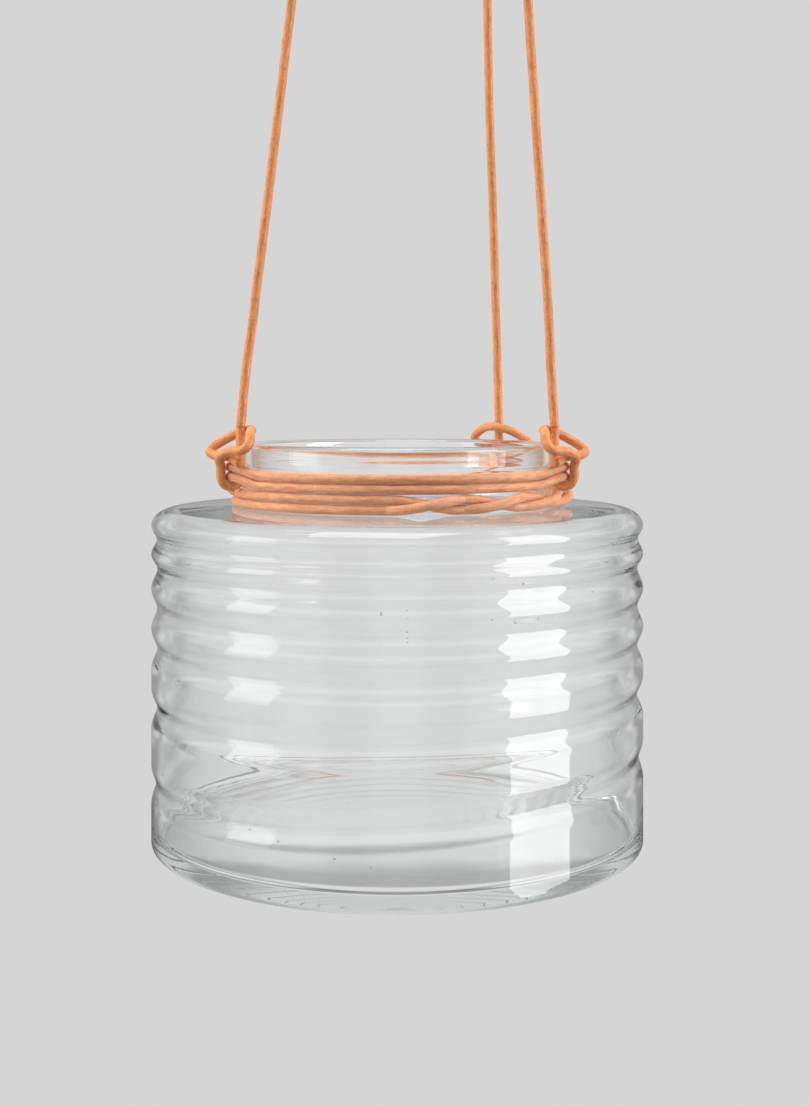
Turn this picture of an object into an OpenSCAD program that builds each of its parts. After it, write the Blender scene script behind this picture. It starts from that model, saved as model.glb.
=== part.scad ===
// Hanging glass vase: a ribbed drum of clear glass on three leather cords.
// The vase stands on the ring round its base at z = 0, with its axis on +Z and its front towards -Y.
// Angles are azimuths in degrees, from the front round towards +X.

/* [Glass body] */
// Outside diameter of the body over its ribs
body_d = 180; // [150:1:220]
// Height of the flat shoulder at the root of the neck
shoulder_h = 122.4; // [115:0.1:140]
// Thickness of the wall
wall = 3; // [2:0.1:4]
// Height of the floor inside
base_t = 5; // [4.5:0.1:8]
// Rise of the shallow dome under the base
dome_h = 2.7; // [1:0.1:3]
// Width of the flat ring round the dome that the vase stands on, with the outer edge round it
ring_w = 6.5; // [5:0.5:12]
// Radius of the outer edge round the base
foot_r = 2; // [1:0.1:3]
// Radius of the corner inside, between the floor and the wall
floor_r = 4; // [3:0.5:12]
// Depth of the grooves between the ribs
groove_depth = 2.1; // [1:0.1:2.6]
// Width of a groove, where its neighbours leave room for it
groove_w = 14.6; // [10:0.2:20]
// How far the rounded shoulder comes in from the side
shoulder_in = 8; // [5:0.5:12]
// How far the rounded shoulder drops from its edge to the side
shoulder_drop = 5.8; // [4:0.1:7]
// Rise of the shoulder from its rounded edge to the neck
shoulder_rise = 1.1; // [0.5:0.1:2]

/* [Neck] */
// Outside diameter of the neck under the winding
neck_d = 115.4; // [100:0.1:125]
// Height of the neck from the shoulder to the top of the rim
neck_h = 22.6; // [21:0.1:30]
// How far the lip stands out from the neck
lip_out = 0.9; // [0.5:0.1:1.2]
// Height of the lip
lip_h = 7.2; // [5:0.1:7.4]

/* [Leather cord] */
// Diameter of the cord
cord_d = 3.4; // [3:0.1:3.5]
// Gap between the cord and what it lies on
cord_gap = 0.1; // [0.05:0.01:0.15]
// Angle through which the tail of the winding twists over one strand
twist_step = 24.7; // [22:0.1:28]
// Half turns of the tail round the strand above it
twist_count = 4; // [2:2:4]

/* [Ties] */
// Azimuth of the left tie
left_az = -67; // [-75:1:-55]
// Azimuth of the right tie
right_az = 68; // [55:1:75]
// Azimuth of the back tie
back_az = 138; // [125:1:150]
// Height of the eye at the top of each cord
eye_h = 21; // [16:0.5:28]
// Width of the eye at the top of each cord, between the middles of the cord
eye_w = 15; // [12:0.5:20]
// Turns of the whipping below each eye
whip_turns = 3; // [2:1:4]

/* [Hidden] */

glass = [0.86, 0.9, 0.9, 0.4];
leather = [0.8, 0.53, 0.38];
dark_leather = [0.72, 0.46, 0.32];

// Body profile
body_r = body_d / 2;
side_top = shoulder_h - shoulder_rise - shoulder_drop;
// Heights of the grooves, as shares of the height of the side: the ribs grow towards the base
groove_at = [0.221, 0.443, 0.612, 0.739, 0.865, 0.957];
// Depth of each groove, as a share of the full depth
groove_share = [0.8, 1, 1, 1, 1, 0.9];
// How much of the outer grooves shows on the inside of the wall
groove_inside = 0.95;
groove_steps = 4;
dome_steps = 12;
arc_steps = 8;
fine = 120;

// Neck profile
neck_r = neck_d / 2;
vase_h = shoulder_h + neck_h;
lip_r = neck_r + lip_out;
lip_z = vase_h - lip_h;
lip_slope = 1.2;
neck_wall = wall - 0.1;
rim_r = (lip_r - neck_r + neck_wall) / 2;
neck_root_r = 0.9;
// How much lower the shoulder begins inside, and the least step between a groove's points and an arc
inner_drop = 1;
least = 0.1;

// Winding
pitch = cord_d + cord_gap / 2;
wind_r = neck_r + cord_gap + cord_d / 2;
low_z = shoulder_h + cord_gap + cord_d / 2;
strands = 4;
function strand_z(k) = low_z + (strands - k) * pitch;
wind_start = left_az - 6;
wind_end = 99;
wind_tuck = 3;
wind_step = 4;
drop_from = 165;
drop_to = 280;
twist_from = wind_end - wind_tuck - twist_step * twist_count;
twist_out = 0.545 * pitch;
cord_sides = 8;

// Ties: the upper two strands are lifted and pushed out where a hanging cord passes behind them
lift = 0.8 * cord_d;
push = 1.3 * cord_d;
push_r = wind_r + push;
push_half = acos(wind_r / push_r);
push_flat = 2;
lift_half = 16;
reach = cord_d + cord_gap;
upper_z = strand_z(1) + lift;
under_z = strand_z(2) + lift;
bend_r = 1.075 * cord_d;
pass_r = lip_r + cord_gap + cord_d / 2;
tie_rise = 6;
tie_top = vase_h + tie_rise;
tie_steps = 3;
// Free turns of a tie in cord diameters: sideways, up and out, from the upper strand or from the rim
tie_front = [[0.05, 0, 1.1], [0.45, 1, 1.4], [1.9, 1.65, 1.05], [3.4, 1.8, 0.3]];
tie_over = [[3.55, 0.3, -0.45], [2.05, 1.25, -1.3], [0, 1.55, -2.15], [-1.6, 1.05, -0.9], [-2.35, -0.1, 1]];
tie_tuck = [[-2.2, 1.45, 1.7], [-1.2, 1.05, 1.05], [0, 1.05, 0.25], [1.3, 0.8, 0.2], [2.65, 0.45, 0.1]];

// Eye and whipping
eye_steps = 3;
whip_sides = 12;
eye_start = 0.25 * cord_d;
whip_bottom = 1.2 * cord_d;
whip_pitch = cord_d + cord_gap;
whip_top = whip_bottom + (whip_turns + 0.5) * whip_pitch;
side_by = reach / 2 + cord_gap;
whip_wide = side_by + reach + 0.1 * cord_d;
whip_deep = reach + 0.15 * cord_d;

// Routes of the hanging cords, from the top of each tie up to its eye
left_route = [[0, 0, 0], [0.7, 0.3, 8], [1.6, 0.7, 18], [2.8, 1.1, 28], [4.2, 1.5, 38],
              [5.4, 1.9, 49], [6.8, 2.3, 60], [8, 2.7, 70], [9.2, 3.1, 80], [10.5, 3.5, 91],
              [11.8, 3.9, 102], [13.5, 4.5, 117], [14.7, 4.9, 127], [15.9, 5.3, 138],
              [17, 5.7, 147], [18.2, 6.1, 158]];
right_route = [[0, 0, 0], [-0.5, 0.3, 8], [-1.1, 0.7, 18], [-1.5, 1.1, 28], [-1.9, 1.4, 38],
               [-2.5, 1.8, 49], [-3.2, 2.2, 60], [-3.9, 2.6, 70], [-4.5, 3, 80], [-5.2, 3.4, 91],
               [-5.9, 3.8, 102], [-6.8, 4.3, 117], [-7.4, 4.7, 127], [-8.1, 5.1, 138],
               [-8.6, 5.4, 147], [-9.3, 5.8, 158]];
back_route = [[0, 0, 0], [-0.3, -0.6, 9], [-0.6, -1.3, 20], [-0.9, -2, 31], [-1.3, -2.8, 42],
              [-1.7, -3.5, 53], [-2, -4.2, 64], [-2.4, -5, 76], [-2.8, -5.8, 88], [-3.3, -6.6, 100],
              [-3.8, -7.4, 112], [-4.3, -8.3, 126], [-4.6, -9.1, 139], [-4.9, -9.9, 151],
              [-5.1, -10.6, 162], [-5.4, -11.3, 173]];

// Side of the body: soft grooves, which take half the way to a neighbour where that is less than their width
groove_zs = [for (s = groove_at) foot_r + s * (side_top - foot_r)];
last_groove = len(groove_zs) - 1;
function half_below(i) =
    min(groove_w / 2, i == 0 ? groove_zs[0] - foot_r : (groove_zs[i] - groove_zs[i - 1]) / 2);
function half_above(i) =
    min(groove_w / 2, i == last_groove ? side_top - groove_zs[i] : (groove_zs[i + 1] - groove_zs[i]) / 2);
function groove_point(i, t, share, inset) =
    [body_r - inset - share * groove_share[i] * groove_depth * (1 + cos(180 * t)) / 2,
     groove_zs[i] + t * (t < 0 ? half_below(i) : half_above(i))];
function side(share, inset, low, high) =
    [for (i = [0 : last_groove]) for (k = [-groove_steps : groove_steps])
        let (p = groove_point(i, k / groove_steps, share, inset))
        if (p[1] > low && p[1] < high && (k < groove_steps || half_above(i) == groove_w / 2)) p];
function arc(cx, cz, rx, rz, from, to) =
    [for (k = [0 : arc_steps]) let (a = from + (to - from) * k / arc_steps)
        [cx + rx * cos(a), cz + rz * sin(a)]];

function dome() =
    [for (k = [0 : dome_steps]) let (t = k / dome_steps) [t * (body_r - ring_w), dome_h * (1 - t * t)]];

outer = concat(
    dome(),
    arc(body_r - foot_r, foot_r, foot_r, foot_r, -90, 0),
    side(1, 0, foot_r + least, side_top - least),
    arc(body_r - shoulder_in, side_top, shoulder_in, shoulder_drop, 0, 90),
    arc(neck_r + neck_root_r, shoulder_h + neck_root_r, neck_root_r, neck_root_r, 270, 180),
    [[neck_r, lip_z - lip_slope], [lip_r, lip_z]],
    arc(lip_r - rim_r, vase_h - rim_r, rim_r, rim_r, 0, 180));
inner_low = base_t + floor_r;
inner_high = side_top - inner_drop;
inner = concat(
    arc(body_r - wall - floor_r, inner_low, floor_r, floor_r, -90, 0),
    side(groove_inside, wall, inner_low + least, inner_high - least),
    arc(body_r - shoulder_in, inner_high, shoulder_in - wall, shoulder_h - wall - inner_high, 0, 90),
    [[neck_r + neck_root_r, shoulder_h - wall], [neck_r - neck_wall, shoulder_h - wall + neck_root_r]]);
function backwards(l) = [for (i = [len(l) - 1 : -1 : 0]) l[i]];

module glass_vase() {
    color(glass)
        rotate_extrude($fn = fine)
            polygon(concat(outer, backwards(inner), [[0, base_t]]));
}

// A closed tube through a list of rings, whose corners run anticlockwise seen against its direction
module skin(rings) {
    n = len(rings[0]);
    m = len(rings);
    polyhedron(
        points = [for (r = rings) for (p = r) p],
        faces = concat(
            [[for (k = [0 : n - 1]) k]],
            [for (i = [0 : m - 2]) for (k = [0 : n - 1])
                let (a = i * n + k, b = i * n + (k + 1) % n) each [[a, b + n, b], [a, a + n, b + n]]],
            [[for (k = [n - 1 : -1 : 0]) (m - 1) * n + k]]));
}

// Smooth curve through points, with a few steps between each pair
function between(a, b, c, d, t) =
    0.5 * (2 * b + t * (c - a) + t * t * (2 * a - 5 * b + 4 * c - d) + t * t * t * (3 * b - a - 3 * c + d));
function smooth(p, steps) =
    let (last = len(p) - 1)
    concat([for (i = [0 : last - 1]) for (k = [0 : steps - 1])
        between(p[max(i - 1, 0)], p[i], p[i + 1], p[min(i + 2, last)], k / steps)], [p[last]]);
function unit(v) = v / norm(v);
function headings(p) =
    [for (i = [0 : len(p) - 1]) unit(p[min(i + 1, len(p) - 1)] - p[max(i - 1, 0)])];
function across(v, t) = unit(v - (v * t) * t);
// Rings square to the curve, carried along it without twisting
function tube(p, d, sides, start) =
    let (h = headings(p),
         n = [for (i = 0, u = across(start, h[0]); i < len(p);
                   i = i + 1, u = i < len(p) ? across(u, h[i]) : u) u])
    [for (i = [0 : len(p) - 1]) let (u = n[i], v = cross(h[i], u))
        [for (k = [0 : sides - 1]) let (a = 360 * k / sides)
            p[i] + d / 2 * (cos(a) * u + sin(a) * v)]];

function around(az, r, z) = [r * sin(az), -r * cos(az), z];
// Smallest angle between two azimuths
function apart(a, b) = abs((a - b + 180) % 360 + ((a - b + 180) % 360 < 0 ? 360 : 0) - 180);
function ease(x) = let (t = min(max(x, 0), 1)) t * t * (3 - 2 * t);

// Winding: turn k goes from the left tie round the front, then down one level at the back
function turn_of(az) = floor((az - wind_start) / 360);
function tie_gap(az) = min([for (t = [left_az, right_az, back_az]) apart(az, t)]);
function pushed(az, k) =
    k < 2 ? wind_r / cos(max(0, push_half - max(0, tie_gap(az) - push_flat))) : wind_r;
function lifted(az, k) =
    k < 2 ? lift * (1 + cos(180 * min(1, tie_gap(az) / lift_half))) / 2 : 0;
function wind_point(az) =
    let (k = turn_of(az), local = az - 360 * k,
         drop = ease((local - drop_from) / (drop_to - drop_from)),
         turns = min(max((local - twist_from) / twist_step, 0), twist_count),
         phi = k >= 2 ? 180 * turns : 0,
         way = k == 2 ? 1 : -1,
         twisted = k >= 2 && turns > 0 && turns < twist_count,
         half = pitch / 2,
         z = twisted ? strand_z(3) - half + way * half * cos(phi) : strand_z(k + 1) - drop * pitch,
         r = twisted ? wind_r + twist_out * (abs(sin(phi)) - way * sin(phi)) : pushed(az, k))
    around(az, r, z + lifted(az, k));
function wind_ring(az) =
    let (c = wind_point(az), out = around(az, 1, 0))
    [for (j = [0 : cord_sides - 1]) let (a = 360 * j / cord_sides)
        c + cord_d / 2 * (cos(a) * out - [0, 0, sin(a)])];
wind_total = wind_end + 360 * (strands - 1) - wind_start;
wind_count = floor(wind_total / wind_step);

module neck_cord() {
    color(leather)
        skin([for (i = [0 : wind_count])
            wind_ring(wind_start + wind_total * i / wind_count)]);
}

// Tie: down behind the upper two strands, up in front of them, once round itself, and tucked in
function turns_from(list, z) = [for (p = list) [cord_d * p[0], z + cord_d * p[1], push_r + cord_d * p[2]]];
function tie_points() = concat(
    [[0, tie_top, pass_r], [0, vase_h, pass_r], [0, lip_z + 0.9 * cord_d, pass_r],
     [0, lip_z + 3 * cord_gap, pass_r + cord_gap / 2], [0, upper_z - 0.55 * cord_d, wind_r + 3 * cord_gap],
     [0, under_z - 0.35 * cord_d, wind_r + cord_gap]],
    [for (a = [225, 270, 315, 0]) [0, under_z + bend_r * sin(a), push_r + bend_r * cos(a)]],
    turns_from(tie_front, upper_z), turns_from(tie_over, vase_h), turns_from(tie_tuck, upper_z));
function tie_place(p, az, way) = around(az + way * p[0] / neck_r * 180 / PI, p[2], p[1]);
module hitch(az, way) {
    points = smooth([for (p = tie_points()) tie_place(p, az, way)], tie_steps);
    color(leather)
        skin(tube(points, cord_d, cord_sides, around(az + 90, 1, 0)));
}
module hitch_left() { hitch(left_az, 1); }
module hitch_right() { hitch(right_az, -1); }
module hitch_back() { hitch(back_az, 1); }

// Hanging cord: level rings along its route
function route(az, offsets) = [for (p = offsets) around(az, pass_r, tie_top) + p];
module hanging(az, offsets) {
    color(leather)
        skin([for (p = route(az, offsets)) [for (k = [0 : cord_sides - 1])
            let (a = 360 * k / cord_sides) p + cord_d / 2 * [cos(a), sin(a), 0]]]);
}
module cord_left() { hanging(left_az, left_route); }
module cord_right() { hanging(right_az, right_route); }
module cord_back() { hanging(back_az, back_route); }

// Eye: the cord goes up, round and down beside itself, and turns of whipping hold the two together
function eye_half(way) = [
    [way * side_by, 0, whip_bottom + 0.45 * cord_d], [way * side_by, 0, whip_top],
    [way * (side_by + 0.15 * cord_d), 0, whip_top + 0.9 * cord_d],
    [way * eye_w * 0.42, 0, whip_top + eye_h * 0.36],
    [way * eye_w / 2, 0, whip_top + eye_h * 0.62], [way * eye_w * 0.32, 0, whip_top + eye_h * 0.93]];
function eye_points() = concat(
    [[0, 0, eye_start], [-side_by * 0.55, 0, whip_bottom * 0.6]], eye_half(-1),
    [[0, 0, whip_top + eye_h]], backwards(eye_half(1)), [[side_by * 1.15, 0, whip_bottom]]);
function whip_points() =
    [for (i = [0 : whip_turns * whip_sides]) let (a = 360 * i / whip_sides)
        [whip_wide * cos(a), whip_deep * sin(a), whip_bottom + cord_d / 2 + whip_pitch * i / whip_sides]];
module loop(az, offsets) {
    color(dark_leather)
        translate(around(az, pass_r, tie_top) + offsets[len(offsets) - 1]) {
            skin(tube(concat([[0, 0, 0]], smooth(eye_points(), eye_steps)), cord_d, cord_sides, [1, 0, 0]));
            skin(tube(whip_points(), cord_d, cord_sides, [1, 0, 0]));
        }
}
module loop_left() { loop(left_az, left_route); }
module loop_right() { loop(right_az, right_route); }
module loop_back() { loop(back_az, back_route); }

glass_vase();
neck_cord();
cord_left();
cord_right();
cord_back();
hitch_left();
hitch_right();
hitch_back();
loop_left();
loop_right();
loop_back();
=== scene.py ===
import math
import bmesh
import bpy
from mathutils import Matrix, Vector, noise


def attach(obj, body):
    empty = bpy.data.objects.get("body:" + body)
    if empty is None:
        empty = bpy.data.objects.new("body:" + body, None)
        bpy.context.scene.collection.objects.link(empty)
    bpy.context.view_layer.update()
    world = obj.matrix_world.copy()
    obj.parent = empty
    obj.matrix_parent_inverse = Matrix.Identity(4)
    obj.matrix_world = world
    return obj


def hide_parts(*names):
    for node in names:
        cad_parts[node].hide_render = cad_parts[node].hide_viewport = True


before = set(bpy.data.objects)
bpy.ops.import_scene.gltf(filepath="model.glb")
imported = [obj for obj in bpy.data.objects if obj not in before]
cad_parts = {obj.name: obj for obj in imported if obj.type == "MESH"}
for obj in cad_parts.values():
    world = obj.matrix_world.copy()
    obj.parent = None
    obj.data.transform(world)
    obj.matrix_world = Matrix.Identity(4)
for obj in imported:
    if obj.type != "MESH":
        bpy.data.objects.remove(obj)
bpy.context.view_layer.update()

# Glass, in metres, the same as in the CAD source
BODY_R = 0.090
SHOULDER_H = 0.1224
WALL = 0.003
BASE_T = 0.005
DOME_H = 0.0027
RING_W = 0.0065
FOOT_R = 0.002
FLOOR_R = 0.004
SHOULDER_IN = 0.008
SHOULDER_DROP = 0.0058
SHOULDER_RISE = 0.0011
INNER_DROP = 0.001
NECK_R = 0.0577
NECK_H = 0.0226
LIP_OUT = 0.0009
LIP_H = 0.0072
LIP_SLOPE = 0.0012
NECK_ROOT_R = 0.0009
SIDE_TOP = SHOULDER_H - SHOULDER_RISE - SHOULDER_DROP
VASE_H = SHOULDER_H + NECK_H
LIP_R = NECK_R + LIP_OUT
LIP_Z = VASE_H - LIP_H
NECK_WALL = WALL - 0.0001
RIM_R = (LIP_R - NECK_R + NECK_WALL) / 2

# Lip outside: its curve as shares out and down, and the heights of its rows
LIP_CURVE = ((0, 1), (0.3, 0.7), (0.75, 0.25))
LIP_ROWS = (0.0006, 0.002, 0.0035)

# Inside: radii of the floor's rows, the curve at the foot of the bore, and where its straight stretch lies
FLOOR_ROWS = (0.02, 0.045, 0.065)
BORE_ROOT = ((0.0024, 0.0002), (0.0006, 0.0009))
BORE_LOW, BORE_DROP = 0.002, 0.004

# Grooves between the ribs: their heights and depths as shares, and how far each leans down to the left
GROOVE_DEPTH = 0.0021
GROOVE_W = 0.0146
GROOVE_AT = (0.221, 0.443, 0.612, 0.739, 0.865, 0.957)
GROOVE_SHARE = (0.8, 1, 1, 1, 1, 0.9)
GROOVE_TILT = (0.041, 0.021, 0.005, 0.002, 0.002, 0.001)
GROOVE_WAVER = 0.003
GROOVE_UNEVEN = 0.12
UNEVEN_SEED = 20
GROOVE_INSIDE = 0.95

# Slow waves round the vase: their coarseness, and how far apart their seeds lie
WAVE_ROUND, WAVE_APART = 1.3, 7.3

# Fineness of the glass
RIB_ROWS = 120
AROUND = 256
DOME_ROWS = 32

# Small air bubbles: how many and how large, where in the wall and in the base, and the step to the next
BUBBLES = 44
BUBBLE_R, BUBBLE_MORE = 0.00022, 0.00026
BUBBLE_LOW, BUBBLE_RANGE = 0.014, 0.096
BASE_BUBBLE_IN, BASE_BUBBLE_RANGE, BASE_BUBBLE_Z = 0.03, 0.045, 0.0036
BUBBLE_TURN, BUBBLE_RISE, BUBBLE_GROW = 137.5, 0.618, 0.755
BUBBLE_FLAT = 0.8

# Leather cord: its width, the gap beside it, and how fine and how uneven its surface is
CORD_D = 0.0034
CORD_GAP = 0.0001
CORD_SIDES = 20
RING_STEP = 0.0008
CORD_MEAN, CORD_UNEVEN = 0.985, 0.015
BUMPS_ALONG, BUMPS_ROUND = 90, 3

# Azimuths of the three ties, in degrees from the front towards +X
LEFT_AZ, RIGHT_AZ, BACK_AZ = -67.0, 68.0, 138.0
TIES = (LEFT_AZ, RIGHT_AZ, BACK_AZ)

# Winding: its strands and ends, the two strands twisted at the front right, and its way down at the back
STRANDS = 4
PITCH = CORD_D + CORD_GAP / 2
WIND_R = NECK_R + CORD_GAP + CORD_D / 2
LOW_Z = SHOULDER_H + CORD_GAP + CORD_D / 2
WIND_START = LEFT_AZ - 6
WIND_END = 99.0
TWIST_STEP = 24.7
TWIST_COUNT = 4
TWIST_FROM = WIND_END - 3 - TWIST_STEP * TWIST_COUNT
TWIST_OUT = 0.545 * PITCH
DROP_FROM, DROP_TO = 165.0, 280.0

# Ties: how they lift and push out the two upper strands, and over what angles, then their bend and top
LIFT = 0.8 * CORD_D
PUSH_R = WIND_R + 1.3 * CORD_D
PUSH_HALF = math.degrees(math.acos(WIND_R / PUSH_R))
PUSH_FLAT = 2.0
LIFT_HALF = 16.0
BEND_R = 1.075 * CORD_D
PASS_R = LIP_R + CORD_GAP + CORD_D / 2
TIE_TOP = VASE_H + 0.006

# Turns of a tie, as points in cord widths: along the neck, up and out
TIE_FRONT = ((0.05, 0, 1.1), (0.45, 1, 1.4), (1.9, 1.65, 1.05), (3.4, 1.8, 0.3))
TIE_OVER = ((3.55, 0.3, -0.45), (2.05, 1.25, -1.3), (0, 1.55, -2.15), (-1.6, 1.05, -0.9), (-2.35, -0.1, 1))
TIE_TUCK = ((-2.2, 1.45, 1.7), (-1.2, 1.05, 1.05), (0, 1.05, 0.25), (1.3, 0.8, 0.2), (2.65, 0.45, 0.1))

# Eye and whipping
EYE_H, EYE_W = 0.021, 0.015
WHIP_TURNS = 3
WHIP_PITCH = CORD_D + CORD_GAP
EYE_START = 0.25 * CORD_D
WHIP_BOTTOM = 1.2 * CORD_D
WHIP_TOP = WHIP_BOTTOM + (WHIP_TURNS + 0.5) * WHIP_PITCH
REACH = CORD_D + CORD_GAP
SIDE_BY = REACH / 2 + CORD_GAP
WHIP_WIDE = SIDE_BY + REACH + 0.1 * CORD_D
WHIP_DEEP = REACH + 0.15 * CORD_D

# Routes of the hanging cords in millimetres, from the top of each tie up to its eye
LEFT_ROUTE = ((0, 0, 0), (0.7, 0.3, 8), (1.6, 0.7, 18), (2.8, 1.1, 28), (4.2, 1.5, 38),
              (5.4, 1.9, 49), (6.8, 2.3, 60), (8, 2.7, 70), (9.2, 3.1, 80), (10.5, 3.5, 91),
              (11.8, 3.9, 102), (13.5, 4.5, 117), (14.7, 4.9, 127), (15.9, 5.3, 138),
              (17, 5.7, 147), (18.2, 6.1, 158))
RIGHT_ROUTE = ((0, 0, 0), (-0.5, 0.3, 8), (-1.1, 0.7, 18), (-1.5, 1.1, 28), (-1.9, 1.4, 38),
               (-2.5, 1.8, 49), (-3.2, 2.2, 60), (-3.9, 2.6, 70), (-4.5, 3, 80), (-5.2, 3.4, 91),
               (-5.9, 3.8, 102), (-6.8, 4.3, 117), (-7.4, 4.7, 127), (-8.1, 5.1, 138),
               (-8.6, 5.4, 147), (-9.3, 5.8, 158))
BACK_ROUTE = ((0, 0, 0), (-0.3, -0.6, 9), (-0.6, -1.3, 20), (-0.9, -2, 31), (-1.3, -2.8, 42),
              (-1.7, -3.5, 53), (-2, -4.2, 64), (-2.4, -5, 76), (-2.8, -5.8, 88), (-3.3, -6.6, 100),
              (-3.8, -7.4, 112), (-4.3, -8.3, 126), (-4.6, -9.1, 139), (-4.9, -9.9, 151),
              (-5.1, -10.6, 162), (-5.4, -11.3, 173))
MM = 0.001

# Leather of the hanging cords and of the winding: pale, dark and patch colours, and how pitted it is
CORD_LOOK = ((0.90, 0.37, 0.135), (0.62, 0.22, 0.075), (0.86, 0.34, 0.125), 0.8)
NECK_LOOK = ((0.86, 0.41, 0.22), (0.58, 0.24, 0.11), (0.80, 0.38, 0.21), 0.4)

# Scales of its fibres and pores across and along the cord, and of its patches
FIBRE_SCALE = (900, 160, 1)
PORE_SCALE = (1500, 950, 1)
PATCH_SCALE = 130
PORE_SHADE = 0.4

# Studio. A direction has a part X to the right, Y away from the front and Z upward, each from -1 to 1
BACKGROUND = 0.665
FLOOR_Z = -0.5
FLOOR_RADIUS = 4
FLOOR_FADE = (0.75, 1.6)
FLOOR_GLOW = 0.5
FLOOR_PAINT = 0.2

# What is seen through the glass, as a share of the background, by Z and by X either way
HEIGHTS = ((-1, 0.5), (-0.93, 0.5), (-0.86, 1.15), (-0.52, 1.15), (-0.4, 1.08), (0.975, 1.08), (1, 0.4))
SIDES = ((-1, 1), (0.12, 1), (0.22, 0.75), (0.34, 0.5), (0.48, 0.5), (0.6, 1), (0.8, 1), (0.88, 0.58),
         (1, 0.58))

# The sides above start to count as Y, either way, goes through this reach
SIDES_FROM = (0.1, 0.25)

# A darker strip seen through the glass, low down at the back: its two edges in Z and its edge in Y
STRIP_BOTTOM = (-0.53, -0.45)
STRIP_TOP = (-0.41, -0.345)
STRIP_BACK = (0.72, 0.86)
STRIP_SHADE = 0.45

# What the surfaces reflect, as brightness by Z, and how it darkens towards the back
ROOM = ((-1, 0.2), (-0.3, 0.2), (-0.2, 0.85), (0.15, 0.85), (0.22, 1.9), (0.42, 1.9), (0.52, 0.6), (1, 0.4))
ROOM_BACK = (0.2, 0.5)
ROOM_BACK_SHADE = 0.35

# Soft light from all round, from below to above
FILL_Z = (-0.6, 0.6)
FILL_LOW, FILL_HIGH = 0.05, 0.42


def make_camera():
    """Level camera in front of the vase, at the photograph's distance; the horizon lies above the middle."""
    focal_px, frame_h_px = 1505, 1106
    horizon_px, middle_px = 399, 553
    data = bpy.data.cameras.new("camera")
    data.sensor_width = 36
    data.lens = focal_px / frame_h_px * data.sensor_width
    data.shift_y = -(middle_px - horizon_px) / frame_h_px
    data.clip_start = 0.01
    camera = bpy.data.objects.new("camera", data)
    camera.location = (0.0028, -0.558, 0.1612)
    camera.rotation_euler = (math.radians(90), 0, 0)
    bpy.context.scene.collection.objects.link(camera)
    bpy.context.scene.camera = camera


# Points and lines

def around(az, r, z):
    """The point at azimuth az, in degrees from the front towards +X, at radius r and height z."""
    a = math.radians(az)
    return Vector((r * math.sin(a), -r * math.cos(a), z))


def ease(x):
    """A smooth step from 0 to 1."""
    t = min(max(x, 0), 1)
    return t * t * (3 - 2 * t)


def smooth(points, steps):
    """Smooth curve through points, with a few steps between each pair."""
    last = len(points) - 1
    out = []
    for i in range(last):
        a, b = points[max(i - 1, 0)], points[i]
        c, d = points[i + 1], points[min(i + 2, last)]
        for k in range(steps):
            t = k / steps
            out.append(0.5 * (2 * b + t * (c - a) + t * t * (2 * a - 5 * b + 4 * c - d)
                              + t ** 3 * (3 * b - a - 3 * c + d)))
    return out + [points[last]]


def even(points, spacing):
    """The same line with its points the same distance apart."""
    along = [0.0]
    for a, b in zip(points, points[1:]):
        along.append(along[-1] + (b - a).length)
    count = max(2, round(along[-1] / spacing))
    out, i = [], 0
    for k in range(count + 1):
        s = along[-1] * k / count
        while i < len(points) - 2 and along[i + 1] < s:
            i += 1
        share = (s - along[i]) / max(along[i + 1] - along[i], 1e-9)
        out.append(points[i].lerp(points[i + 1], share))
    return out


def new_object(name, bm, material):
    """A smooth object in the scene, from a bmesh and one material."""
    mesh = bpy.data.meshes.new(name)
    bm.to_mesh(mesh)
    bm.free()
    mesh.materials.append(material)
    for face in mesh.polygons:
        face.use_smooth = True
    made = bpy.data.objects.new(name, mesh)
    bpy.context.scene.collection.objects.link(made)
    return made


# Leather cord

def cord_mesh(name, points, material, seed, start=Vector((1, 0, 0)), ends=(True, True)):
    """A leather cord swept along points, a little uneven, with a UV map in metres around and along it."""
    path = even(points, RING_STEP)
    bm = bmesh.new()
    uv = bm.loops.layers.uv.new("cord")
    rings, along = [], []
    side, length = start, 0.0
    for i, p in enumerate(path):
        ahead = (path[min(i + 1, len(path) - 1)] - path[max(i - 1, 0)]).normalized()
        side = (side - side.dot(ahead) * ahead).normalized()
        other = ahead.cross(side)
        if i:
            length += (p - path[i - 1]).length
        along.append(length)
        ring = []
        for k in range(CORD_SIDES):
            a = 2 * math.pi * k / CORD_SIDES
            out = math.cos(a) * side + math.sin(a) * other
            bump = noise.noise(Vector((length * BUMPS_ALONG, BUMPS_ROUND * math.cos(a),
                                       seed + BUMPS_ROUND * math.sin(a))))
            r = CORD_D / 2 * (CORD_MEAN + CORD_UNEVEN * bump)
            ring.append(bm.verts.new(p + r * out))
        rings.append(ring)
    circle = math.pi * CORD_D
    for i in range(len(rings) - 1):
        for k in range(CORD_SIDES):
            n = (k + 1) % CORD_SIDES
            face = bm.faces.new((rings[i][k], rings[i][n], rings[i + 1][n], rings[i + 1][k]))
            places = ((k, i), (k + 1, i), (k + 1, i + 1), (k, i + 1))
            for loop, (u, v) in zip(face.loops, places):
                loop[uv].uv = (u / CORD_SIDES * circle, along[v])
    for ring, wanted, way in ((rings[0], ends[0], -1), (rings[-1], ends[1], 1)):
        if wanted:
            cap = bm.faces.new(ring if way > 0 else ring[::-1])
            for loop in cap.loops:
                loop[uv].uv = (0, 0)
    return new_object(name, bm, material), path


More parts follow.
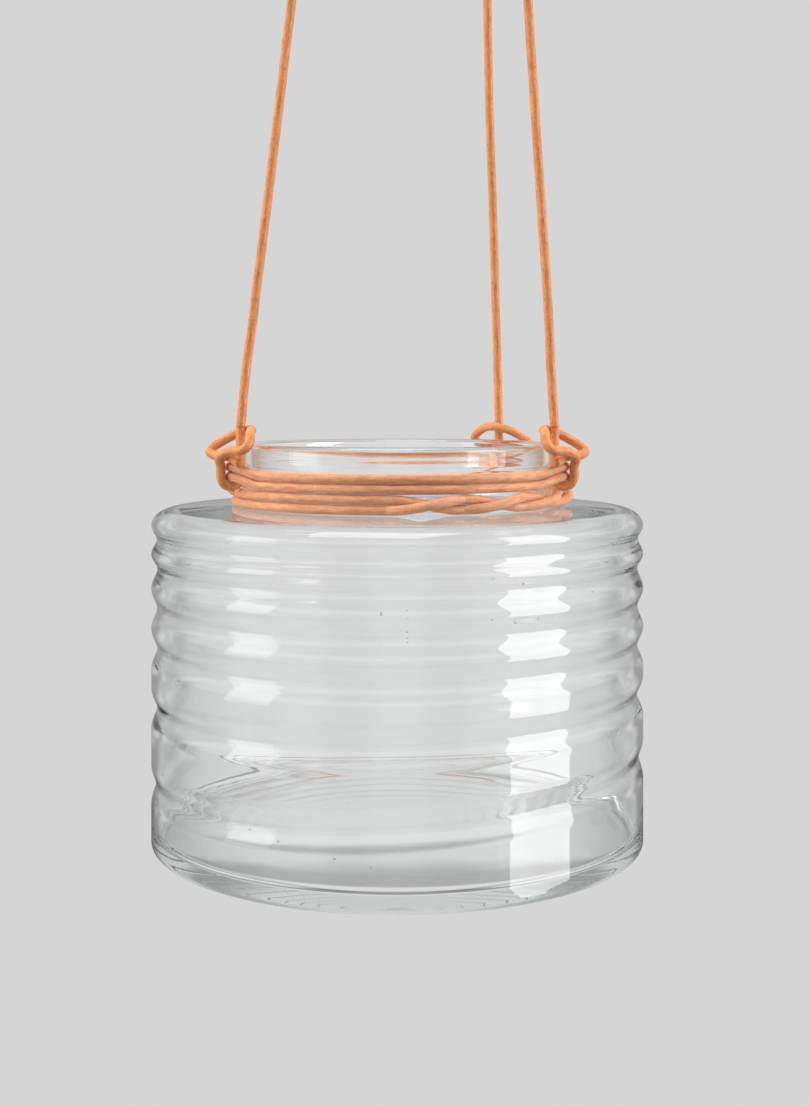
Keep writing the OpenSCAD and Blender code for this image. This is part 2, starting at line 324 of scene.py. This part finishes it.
def leather(name, pale, dark, patch, pitted):
    """Round leather cord: fibrous colour, dark pores, a worn grain and a soft sheen."""
    material = bpy.data.materials.new(name)
    material.use_nodes = True
    tree = material.node_tree
    nodes, links = tree.nodes, tree.links
    shader = nodes["Principled BSDF"]
    uv = nodes.new("ShaderNodeUVMap")
    uv.uv_map = "cord"
    place = nodes.new("ShaderNodeTexCoord")

    def stretched(scale):
        mapping = nodes.new("ShaderNodeMapping")
        mapping.inputs["Scale"].default_value = scale
        links.new(uv.outputs["UV"], mapping.inputs["Vector"])
        return mapping.outputs["Vector"]

    def cloud(vector, scale, detail):
        texture = nodes.new("ShaderNodeTexNoise")
        texture.inputs["Scale"].default_value = scale
        texture.inputs["Detail"].default_value = detail
        texture.inputs["Roughness"].default_value = 0.6
        links.new(vector, texture.inputs["Vector"])
        return texture.outputs["Fac"]

    def between(value, low, high, to_low=0.0, to_high=1.0):
        spread = nodes.new("ShaderNodeMapRange")
        spread.inputs["From Min"].default_value = low
        spread.inputs["From Max"].default_value = high
        spread.inputs["To Min"].default_value = to_low
        spread.inputs["To Max"].default_value = to_high
        links.new(value, spread.inputs["Value"])
        return spread.outputs["Result"]

    def mixed(factor, first, second):
        mix = nodes.new("ShaderNodeMix")
        mix.data_type = "RGBA"
        links.new(factor, mix.inputs["Factor"])
        for socket, value in ((mix.inputs[6], first), (mix.inputs[7], second)):
            if isinstance(value, tuple):
                socket.default_value = (*value, 1)
            else:
                links.new(value, socket)
        return mix.outputs[2]

    def bumped(height, distance, strength):
        bump = nodes.new("ShaderNodeBump")
        bump.inputs["Distance"].default_value = distance
        bump.inputs["Strength"].default_value = strength
        links.new(height, bump.inputs["Height"])
        return bump

    fibres = cloud(stretched(FIBRE_SCALE), 1, 4)
    pores = cloud(stretched(PORE_SCALE), 1, 2)
    patches = cloud(place.outputs["Object"], PATCH_SCALE, 3)
    colour = mixed(between(fibres, 0.35, 0.68), dark, pale)
    colour = mixed(between(patches, 0.42, 0.7, 0, 0.5), colour, patch)
    colour = mixed(between(pores, 0.57, 0.7, 0, pitted), colour, tuple(PORE_SHADE * c for c in dark))
    links.new(colour, shader.inputs["Base Color"])
    links.new(between(fibres, 0.3, 0.7, 0.72, 0.5), shader.inputs["Roughness"])
    shader.inputs["Specular IOR Level"].default_value = 0.35
    shader.inputs["Sheen Weight"].default_value = 0.12
    shader.inputs["Sheen Roughness"].default_value = 0.5
    grain = bumped(fibres, 0.00012, 0.8)
    pits = bumped(pores, 0.0001, 0.7)
    pits.invert = True
    links.new(grain.outputs["Normal"], pits.inputs["Normal"])
    links.new(pits.outputs["Normal"], shader.inputs["Normal"])
    return material


# Hanging cords, with their eyes

def hanging_path(az, route):
    """The cord from the top of its tie up to the eye, round it and down beside itself."""
    tie = around(az, PASS_R, TIE_TOP)
    up = smooth([tie + Vector(p) * MM for p in route], 4)
    top = up[-1]

    def half(way):
        """One side of the eye, from inside the whipping upward."""
        return [Vector((way * SIDE_BY, 0, WHIP_BOTTOM + 0.45 * CORD_D)),
                Vector((way * SIDE_BY, 0, WHIP_TOP)),
                Vector((way * (SIDE_BY + 0.15 * CORD_D), 0, WHIP_TOP + 0.9 * CORD_D)),
                Vector((way * EYE_W * 0.42, 0, WHIP_TOP + EYE_H * 0.36)),
                Vector((way * EYE_W / 2, 0, WHIP_TOP + EYE_H * 0.62)),
                Vector((way * EYE_W * 0.32, 0, WHIP_TOP + EYE_H * 0.93))]

    eye = ([Vector((0, 0, EYE_START)), Vector((-SIDE_BY * 0.55, 0, WHIP_BOTTOM * 0.6))] + half(-1)
           + [Vector((0, 0, WHIP_TOP + EYE_H))] + half(1)[::-1] + [Vector((SIDE_BY * 1.15, 0, WHIP_BOTTOM))])
    return up + [top + p for p in smooth(eye, 8)], top


def whip_path(top):
    """Turns of the whipping, round the foot of the eye."""
    steps = 24
    out = []
    for i in range(WHIP_TURNS * steps + 1):
        a = 2 * math.pi * i / steps
        out.append(top + Vector((WHIP_WIDE * math.cos(a), WHIP_DEEP * math.sin(a),
                                 WHIP_BOTTOM + CORD_D / 2 + WHIP_PITCH * i / steps)))
    return out


def make_hanging_cords(material):
    """Each hanging cord with its eye, and the whipping round it."""
    for side, az, route in (("left", LEFT_AZ, LEFT_ROUTE), ("right", RIGHT_AZ, RIGHT_ROUTE),
                            ("back", BACK_AZ, BACK_ROUTE)):
        points, top = hanging_path(az, route)
        cord, path = cord_mesh(f"hanging_cord_{side}", points, material, az)
        whip, _ = cord_mesh(f"whipping_{side}", whip_path(top), material, az + 7)
        for piece in (cord, whip):
            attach(piece, "root")
        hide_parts(f"cord_{side}", f"loop_{side}")


# Ties

def tie_path(az, way):
    """Down behind the two upper strands, up in front of them, round the cord above the rim and tucked in."""
    upper, under = strand_z(1) + LIFT, strand_z(2) + LIFT

    def turns(points, z):
        """Points in cord widths, as places along the neck, up and out."""
        return [(CORD_D * u, z + CORD_D * v, PUSH_R + CORD_D * w) for u, v, w in points]

    points = [(0, TIE_TOP, PASS_R),
              (0, VASE_H, PASS_R),
              (0, LIP_Z + 0.9 * CORD_D, PASS_R),
              (0, LIP_Z + 3 * CORD_GAP, PASS_R + CORD_GAP / 2),
              (0, upper - 0.55 * CORD_D, WIND_R + 3 * CORD_GAP),
              (0, under - 0.35 * CORD_D, WIND_R + CORD_GAP)]
    for a in (225, 270, 315, 0):
        t = math.radians(a)
        points.append((0, under + BEND_R * math.sin(t), PUSH_R + BEND_R * math.cos(t)))
    points += turns(TIE_FRONT, upper) + turns(TIE_OVER, VASE_H) + turns(TIE_TUCK, upper)
    return smooth([around(az + math.degrees(way * u / NECK_R), r, z) for u, z, r in points], 8)


def make_ties(material):
    """The three ties, each from the foot of its hanging cord."""
    for side, az, way in (("left", LEFT_AZ, 1), ("right", RIGHT_AZ, -1), ("back", BACK_AZ, 1)):
        tie, _ = cord_mesh(f"tie_{side}", tie_path(az, way), material, az + 3,
                           start=around(az + 90, 1, 0), ends=(False, True))
        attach(tie, "root")
        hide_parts(f"hitch_{side}")


# Winding

def strand_z(k):
    """Height of a strand's middle, counted from 1 at the top."""
    return LOW_Z + (STRANDS - k) * PITCH


def tie_gap(az):
    """Angle from this azimuth to the nearest tie."""
    return min(abs((az - t + 180) % 360 - 180) for t in TIES)


def wind_point(az):
    """The winding goes from the left tie round the front, and down one level at the back, four times."""
    k = math.floor((az - WIND_START) / 360)
    local = az - 360 * k
    drop = ease((local - DROP_FROM) / (DROP_TO - DROP_FROM))
    half = PITCH / 2
    turns = min(max((local - TWIST_FROM) / TWIST_STEP, 0), TWIST_COUNT)
    if k >= 2 and 0 < turns < TWIST_COUNT:
        phi, way = math.pi * turns, 1 if k == 2 else -1
        return around(az, WIND_R + TWIST_OUT * (abs(math.sin(phi)) - way * math.sin(phi)),
                      strand_z(3) - half + way * half * math.cos(phi))
    z = strand_z(k + 1) - drop * PITCH
    if k >= 2:
        return around(az, WIND_R, z)
    gap = tie_gap(az)
    lifted = LIFT * (1 + math.cos(math.pi * min(1, gap / LIFT_HALF))) / 2
    turn = math.radians(max(0, PUSH_HALF - max(0, gap - PUSH_FLAT)))
    return around(az, WIND_R / math.cos(turn), z + lifted)


def make_winding(material):
    """The cord wound round the neck, in one piece."""
    total = WIND_END + 360 * (STRANDS - 1) - WIND_START
    count = round(total)
    points = [wind_point(WIND_START + total * i / count) for i in range(count + 1)]
    winding, _ = cord_mesh("neck_winding", points, material, 21, start=Vector((0, 0, 1)))
    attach(winding, "root")
    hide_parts("neck_cord")


# Glass

def wave(az, seed):
    """A slow wave round the vase, from -1 to 1."""
    a = math.radians(az)
    return noise.noise(Vector((WAVE_ROUND * math.cos(a), WAVE_ROUND * math.sin(a), WAVE_APART * seed)))


def wander(az, i):
    """How far a groove strays at this azimuth, as a share of the side's height."""
    return GROOVE_TILT[i] * math.sin(math.radians(az)) + GROOVE_WAVER * wave(az, i)


def rib_radius(z, az, share, inset):
    """Radius of the ribbed side at a height: round ribs between grooves that wander a little."""
    low, high = FOOT_R, SIDE_TOP
    middles = [low + (high - low) * (s + wander(az, i)) for i, s in enumerate(GROOVE_AT)]
    dip = 0.0
    for i, middle in enumerate(middles):
        below = (middle - middles[i - 1]) / 2 if i else middle - low
        above = (middles[i + 1] - middle) / 2 if i < len(middles) - 1 else high - middle
        half = min(GROOVE_W / 2, above if z > middle else below)
        if abs(z - middle) < half:
            depth = GROOVE_DEPTH * GROOVE_SHARE[i] * (1 + GROOVE_UNEVEN * wave(az, i + UNEVEN_SEED))
            dip = depth * (1 + math.cos(math.pi * (z - middle) / half)) / 2
    return BODY_R - inset - share * dip


def ribbed(az, low, high, share, inset):
    """Points up the ribbed side, between its two ends."""
    out = []
    for k in range(1, RIB_ROWS):
        z = low + (high - low) * k / RIB_ROWS
        out.append((rib_radius(z, az, share, inset), z))
    return out


def line(start, end, steps):
    """Points on a straight line, between its two ends."""
    (r0, z0), (r1, z1) = start, end
    return [(r0 + (r1 - r0) * k / steps, z0 + (z1 - z0) * k / steps) for k in range(1, steps)]


def arc(cr, cz, rr, rz, start, end, steps):
    """Points on a round or flattened arc, with both ends."""
    out = []
    for k in range(steps + 1):
        a = math.radians(start + (end - start) * k / steps)
        out.append((cr + rr * math.cos(a), cz + rz * math.sin(a)))
    return out


def glass_profile(az):
    """(radius, height) from the middle of the underside, up the outside, over the rim and down the inside."""
    edge = BODY_R - SHOULDER_IN
    neck = NECK_R + NECK_ROOT_R
    root_z = SHOULDER_H + NECK_ROOT_R
    outer = []
    for k in range(1, DOME_ROWS + 1):
        outer.append((k / DOME_ROWS * (BODY_R - RING_W), DOME_H * (1 - (k / DOME_ROWS) ** 2)))
    outer += arc(BODY_R - FOOT_R, FOOT_R, FOOT_R, FOOT_R, -90, 0, steps=8)
    outer += ribbed(az, FOOT_R, SIDE_TOP, 1, 0)
    outer += arc(edge, SIDE_TOP, SHOULDER_IN, SHOULDER_DROP, 0, 90, steps=14)
    outer += line((edge, SIDE_TOP + SHOULDER_DROP), (neck, SHOULDER_H), steps=10)
    outer += arc(neck, root_z, NECK_ROOT_R, NECK_ROOT_R, 270, 180, steps=5)
    outer += line((NECK_R, root_z), (NECK_R, LIP_Z - LIP_SLOPE), steps=5)
    outer += [(NECK_R + out * LIP_OUT, LIP_Z - down * LIP_SLOPE) for out, down in LIP_CURVE]
    outer += [(LIP_R, LIP_Z + up) for up in LIP_ROWS]
    outer += arc(LIP_R - RIM_R, VASE_H - RIM_R, RIM_R, RIM_R, 0, 180, steps=14)

    inner_low = BASE_T + FLOOR_R
    inner_high = SIDE_TOP - INNER_DROP
    ceiling = SHOULDER_H - WALL
    bore = NECK_R - NECK_WALL
    inner = [(r, BASE_T) for r in FLOOR_ROWS]
    inner += arc(BODY_R - WALL - FLOOR_R, inner_low, FLOOR_R, FLOOR_R, -90, 0, steps=12)
    inner += ribbed(az, inner_low, inner_high, GROOVE_INSIDE, WALL)
    inner += arc(edge, inner_high, SHOULDER_IN - WALL, ceiling - inner_high, 0, 90, steps=10)
    inner += line((edge, ceiling), (neck, ceiling), steps=8)
    inner.append((neck, ceiling))
    inner += [(bore + out, ceiling + up) for out, up in BORE_ROOT]
    inner += line((bore, ceiling + BORE_LOW), (bore, VASE_H - BORE_DROP), steps=8)
    inner.append((bore, VASE_H - BORE_DROP))
    return outer + inner[::-1]


def add_bubbles(bm):
    """Small air bubbles in the wall and the base: closed hollows that face inwards."""
    for k in range(BUBBLES):
        spin, rise = BUBBLE_TURN * k, (BUBBLE_RISE * k) % 1
        size = BUBBLE_R + BUBBLE_MORE * ((BUBBLE_GROW * k) % 1)
        if k % 3:
            z = BUBBLE_LOW + BUBBLE_RANGE * rise
            outside, inside = rib_radius(z, spin, 1, 0), rib_radius(z, spin, GROOVE_INSIDE, WALL)
            place = around(spin, (outside + inside) / 2, z)
        else:
            place = around(spin, BASE_BUBBLE_IN + BASE_BUBBLE_RANGE * rise, BASE_BUBBLE_Z)
        made = bmesh.ops.create_icosphere(bm, subdivisions=2, radius=size)
        for v in made["verts"]:
            v.co = Vector((v.co.x, v.co.y, BUBBLE_FLAT * v.co.z)) + place
        hollow = {face for v in made["verts"] for face in v.link_faces}
        bmesh.ops.reverse_faces(bm, faces=list(hollow))


def make_glass(material):
    """The blown vase in one piece, its section turned round the middle and changing a little on the way."""
    bm = bmesh.new()
    rings = []
    for j in range(AROUND):
        az = 360 * j / AROUND
        rings.append([bm.verts.new(around(az, r, z)) for r, z in glass_profile(az)])
    for j in range(AROUND):
        a, b = rings[j], rings[(j + 1) % AROUND]
        for i in range(len(a) - 1):
            bm.faces.new((a[i], b[i], b[i + 1], a[i + 1]))
    for end, z in ((0, DOME_H), (-1, BASE_T)):
        middle = bm.verts.new((0, 0, z))
        for j in range(AROUND):
            a, b = rings[j][end], rings[(j + 1) % AROUND][end]
            bm.faces.new((middle, b, a) if end == 0 else (middle, a, b))
    bmesh.ops.recalc_face_normals(bm, faces=bm.faces)
    add_bubbles(bm)
    vase = new_object("glass_vase_body", bm, material)
    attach(vase, "root")
    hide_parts("glass_vase")


def glass_material():
    """Clear blown glass with a faint grey-green tint and slow waves in its surface."""
    material = bpy.data.materials.new("clear_glass")
    material.use_nodes = True
    nodes, links = material.node_tree.nodes, material.node_tree.links
    shader = nodes["Principled BSDF"]
    output = nodes["Material Output"]
    shader.inputs["Base Color"].default_value = (0.985, 0.992, 0.99, 1)
    shader.inputs["Transmission Weight"].default_value = 1
    shader.inputs["Roughness"].default_value = 0
    shader.inputs["IOR"].default_value = 1.5
    place = nodes.new("ShaderNodeTexCoord")
    flat = nodes.new("ShaderNodeMapping")
    flat.inputs["Scale"].default_value = (14, 14, 60)
    links.new(place.outputs["Object"], flat.inputs["Vector"])
    waves = nodes.new("ShaderNodeTexNoise")
    waves.inputs["Scale"].default_value = 1
    waves.inputs["Detail"].default_value = 2
    waves.inputs["Roughness"].default_value = 0.4
    links.new(flat.outputs["Vector"], waves.inputs["Vector"])
    bump = nodes.new("ShaderNodeBump")
    bump.inputs["Distance"].default_value = 0.0006
    bump.inputs["Strength"].default_value = 0.5
    links.new(waves.outputs["Fac"], bump.inputs["Height"])
    links.new(bump.outputs["Normal"], shader.inputs["Normal"])

    # Light passes to what lies in its shadow
    path = nodes.new("ShaderNodeLightPath")
    clear = nodes.new("ShaderNodeBsdfTransparent")
    clear.inputs["Color"].default_value = (0.96, 0.97, 0.965, 1)
    mix = nodes.new("ShaderNodeMixShader")
    links.new(path.outputs["Is Shadow Ray"], mix.inputs["Fac"])
    links.new(shader.outputs["BSDF"], mix.inputs[1])
    links.new(clear.outputs["BSDF"], mix.inputs[2])
    links.new(mix.outputs["Shader"], output.inputs["Surface"])
    tint = nodes.new("ShaderNodeVolumeAbsorption")
    tint.inputs["Color"].default_value = (0.90, 0.93, 0.92, 1)
    tint.inputs["Density"].default_value = 8
    links.new(tint.outputs["Volume"], output.inputs["Volume"])
    return material


# Studio

def worked(tree, operation, *values):
    """The result of one math node, from sockets and whole numbers."""
    result = tree.nodes.new("ShaderNodeMath")
    result.operation = operation
    for socket, value in zip(result.inputs, values):
        if isinstance(value, int):
            socket.default_value = value
        else:
            tree.links.new(value, socket)
    return result.outputs["Value"]


def eased(tree, value, reach, at_low, at_high):
    """A smooth step from at_low to at_high, as the value goes through its reach."""
    spread = tree.nodes.new("ShaderNodeMapRange")
    spread.interpolation_type = "SMOOTHSTEP"
    spread.inputs["From Min"].default_value = reach[0]
    spread.inputs["From Max"].default_value = reach[1]
    spread.inputs["To Min"].default_value = at_low
    spread.inputs["To Max"].default_value = at_high
    tree.links.new(value, spread.inputs["Value"])
    return spread.outputs["Result"]


def make_world():
    """What the camera, the glass and the surfaces see all round, each by itself."""
    world = bpy.data.worlds.new("studio")
    bpy.context.scene.world = world
    world.use_nodes = True
    tree = world.node_tree
    nodes, links = tree.nodes, tree.links
    nodes.clear()
    out = nodes.new("ShaderNodeOutputWorld")
    path = nodes.new("ShaderNodeLightPath")
    place = nodes.new("ShaderNodeTexCoord")
    split = nodes.new("ShaderNodeSeparateXYZ")
    links.new(place.outputs["Generated"], split.inputs["Vector"])
    x, y, z = (split.outputs[part] for part in "XYZ")

    def times(first, second):
        return worked(tree, "MULTIPLY", first, second)

    def levels(value, stops):
        """Brightness that follows the stops, for a value from -1 to 1."""
        ramp = nodes.new("ShaderNodeValToRGB")
        elements = ramp.color_ramp.elements
        for at, _ in stops[1:-1]:
            elements.new((at + 1) / 2)
        for element, (at, level) in zip(elements, stops):
            element.position = (at + 1) / 2
            element.color = (level / 2, level / 2, level / 2, 1)
        share = nodes.new("ShaderNodeMapRange")
        share.inputs["From Min"].default_value = -1
        links.new(value, share.inputs["Value"])
        links.new(share.outputs["Result"], ramp.inputs["Fac"])
        return times(ramp.outputs["Color"], 2)

    def light(strength):
        shade = nodes.new("ShaderNodeBackground")
        shade.inputs["Color"].default_value = (1, 1, 1, 1)
        if isinstance(strength, float):
            shade.inputs["Strength"].default_value = strength
        else:
            links.new(strength, shade.inputs["Strength"])
        return shade.outputs["Background"]

    def choose(factor, first, second):
        mix = nodes.new("ShaderNodeMixShader")
        links.new(factor, mix.inputs["Fac"])
        links.new(first, mix.inputs[1])
        links.new(second, mix.inputs[2])
        return mix.outputs["Shader"]

    sides = levels(worked(tree, "ABSOLUTE", x), SIDES)
    sides = worked(tree, "MAXIMUM", sides, eased(tree, worked(tree, "ABSOLUTE", y), SIDES_FROM, 1, 0))
    low = times(eased(tree, z, STRIP_BOTTOM, 0, 1), eased(tree, z, STRIP_TOP, 1, 0))
    low_back = times(low, eased(tree, y, STRIP_BACK, 0, 1))
    base = eased(tree, low_back, (0, 1), BACKGROUND, STRIP_SHADE * BACKGROUND)
    through = light(times(times(levels(z, HEIGHTS), sides), base))
    room = light(times(levels(z, ROOM), eased(tree, y, ROOM_BACK, 1, ROOM_BACK_SHADE)))
    fill = light(eased(tree, z, FILL_Z, FILL_LOW, FILL_HIGH))
    shade = choose(path.outputs["Is Glossy Ray"], fill, room)
    shade = choose(path.outputs["Is Transmission Ray"], shade, through)
    shade = choose(path.outputs["Is Camera Ray"], shade, light(BACKGROUND))
    links.new(shade, out.inputs["Surface"])


def make_floor():
    """A pale round floor that fades into the background, and keeps the shadow."""
    bm = bmesh.new()
    bmesh.ops.create_circle(bm, cap_ends=True, segments=96, radius=FLOOR_RADIUS)
    for v in bm.verts:
        v.co.z = FLOOR_Z
    material = bpy.data.materials.new("pale_floor")
    material.use_nodes = True
    tree = material.node_tree
    nodes, links = tree.nodes, tree.links
    nodes.clear()
    out = nodes.new("ShaderNodeOutputMaterial")
    place = nodes.new("ShaderNodeTexCoord")
    distance = nodes.new("ShaderNodeVectorMath")
    distance.operation = "LENGTH"
    links.new(place.outputs["Object"], distance.inputs[0])
    fade = eased(tree, distance.outputs["Value"], FLOOR_FADE, 0, 1)
    path = nodes.new("ShaderNodeLightPath")
    unseen = worked(tree, "MAXIMUM", path.outputs["Is Diffuse Ray"], path.outputs["Is Transmission Ray"])
    glow = nodes.new("ShaderNodeEmission")
    glow.inputs["Strength"].default_value = FLOOR_GLOW
    paint = nodes.new("ShaderNodeBsdfDiffuse")
    paint.inputs["Color"].default_value = (FLOOR_PAINT, FLOOR_PAINT, FLOOR_PAINT, 1)
    lit = nodes.new("ShaderNodeAddShader")
    links.new(glow.outputs["Emission"], lit.inputs[0])
    links.new(paint.outputs["BSDF"], lit.inputs[1])
    clear = nodes.new("ShaderNodeBsdfTransparent")
    mix = nodes.new("ShaderNodeMixShader")
    links.new(worked(tree, "MAXIMUM", fade, unseen), mix.inputs["Fac"])
    links.new(lit.outputs["Shader"], mix.inputs[1])
    links.new(clear.outputs["BSDF"], mix.inputs[2])
    links.new(mix.outputs["Shader"], out.inputs["Surface"])
    new_object("floor", bm, material)


def softbox(name, az, distance, z, size, brightness, diffuse=True, glossy=True, transmission=True):
    """An area light that faces the vase, with the brightness of its face; the flags say what sees it."""
    width, height = size
    data = bpy.data.lights.new(name, "AREA")
    data.shape = "RECTANGLE"
    data.size = width
    data.size_y = height
    data.energy = brightness * math.pi * width * height
    lamp = bpy.data.objects.new(name, data)
    lamp.location = around(az, distance, z)
    aim = Vector((0, 0, min(z, 0.4))) - lamp.location
    lamp.rotation_euler = aim.to_track_quat("-Z", "Y").to_euler()
    lamp.visible_diffuse = diffuse
    lamp.visible_glossy = glossy
    lamp.visible_transmission = transmission
    bpy.context.scene.collection.objects.link(lamp)


def make_lights():
    """Two softboxes for the reflections, two side lamps for the cords, and one lamp above."""
    softbox("softbox_right", 65, 1.25, 0.4, (0.7, 1.6), 5.4, diffuse=False, transmission=False)
    softbox("softbox_left", -68, 1.3, 0.35, (0.55, 0.9), 1.7)
    softbox("fill_left", -87, 1.2, 0.4, (0.7, 1.2), 4.6, glossy=False, transmission=False)
    softbox("fill_right", 88, 1.2, 0.4, (0.7, 1.2), 5.4, glossy=False, transmission=False)
    softbox("softbox_top", -20, 0.35, 1.3, (0.9, 0.9), 4.2, transmission=False)


def set_view():
    """Plain colours, and enough bounces for light that runs along inside the thick base."""
    scene = bpy.context.scene
    scene.view_settings.view_transform = "Standard"
    scene.cycles.max_bounces = 64
    scene.cycles.glossy_bounces = 48
    scene.cycles.transmission_bounces = 48


make_camera()
cord_leather = leather("cord_leather", *CORD_LOOK)
neck_leather = leather("neck_leather", *NECK_LOOK)
make_hanging_cords(cord_leather)
make_winding(neck_leather)
make_ties(cord_leather)
make_glass(glass_material())
make_world()
make_floor()
make_lights()
set_view()
